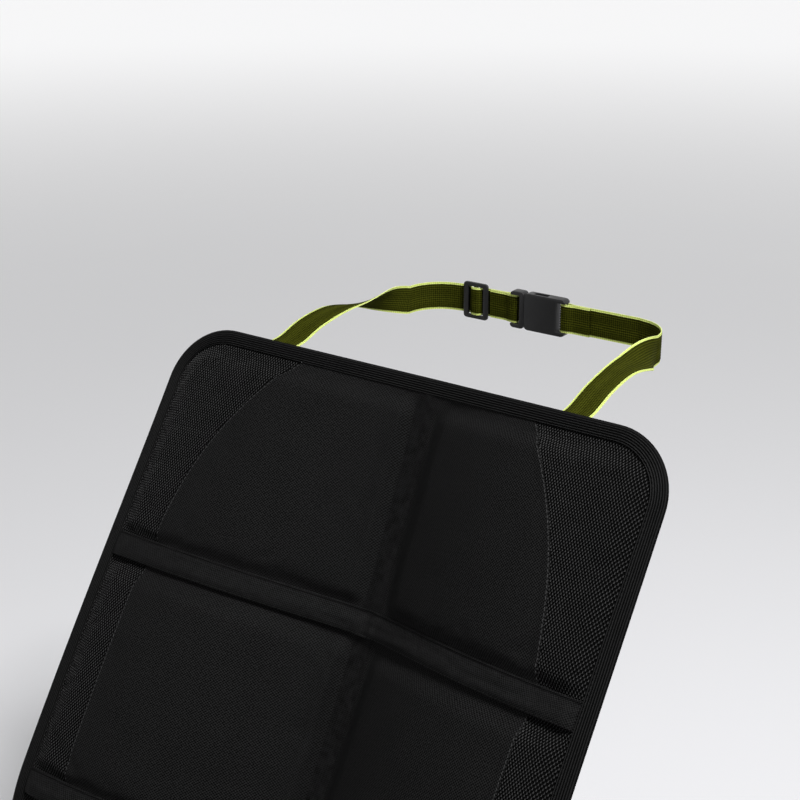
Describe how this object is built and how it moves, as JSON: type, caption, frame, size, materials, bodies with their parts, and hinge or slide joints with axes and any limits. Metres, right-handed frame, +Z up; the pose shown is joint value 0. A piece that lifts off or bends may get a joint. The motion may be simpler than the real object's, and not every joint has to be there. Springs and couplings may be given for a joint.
{
  "type": "car seat protector",
  "caption": "Padded fabric mat that covers a car seat's back and cushion, in its in-use shape, with webbing straps and a buckle that go round a headrest.",
  "frame": {"origin": "middle of the flat underside of the seat section", "axes": "+Z up, -Y towards the front edge of the seat section, +X to the viewer's right when the protector is seen from the front"},
  "size_m": [0.47, 1.1036, 0.5655],
  "materials": {
    "smooth_cloth": "smooth close-woven polyester, matt black",
    "mesh_cloth": "open honeycomb mesh, matt black",
    "edge_tape": "ribbed binding tape, matt black",
    "grip_sheet": "non-slip sheet with small raised dots",
    "foam": "soft foam, hidden inside",
    "webbing": "ribbed olive webbing with lime edges",
    "tack_thread": "close zigzag stitching",
    "buckle_plastic": "moulded, finely textured black"
  },
  "bodies": {
    "root": {"backing": "grip_sheet", "buckle_plug": "buckle_plastic", "buckle_socket": "buckle_plastic", "centre_cover": "smooth_cloth", "centre_strip": "smooth_cloth", "crease_band": "smooth_cloth", "edge_binding": "edge_tape", "foam_back_lower_left": "foam", "foam_back_lower_right": "foam", "foam_back_middle_left": "foam", "foam_back_middle_right": "foam", "foam_back_upper_left": "foam", "foam_back_upper_right": "foam", "foam_front_flap_left": "foam", "foam_front_flap_right": "foam", "foam_seat_front_left": "foam", "foam_seat_front_right": "foam", "foam_seat_rear_left": "foam", "foam_seat_rear_right": "foam", "fold_band_lower": "smooth_cloth", "fold_band_upper": "smooth_cloth", "front_band": "smooth_cloth", "seat_band": "smooth_cloth", "side_mesh_left": "mesh_cloth", "side_mesh_right": "mesh_cloth", "strap_left": "webbing", "strap_right": "webbing", "strap_slider": "buckle_plastic", "strap_tack_left": "tack_thread", "strap_tack_right": "tack_thread"}
  },
  "joints": []
}
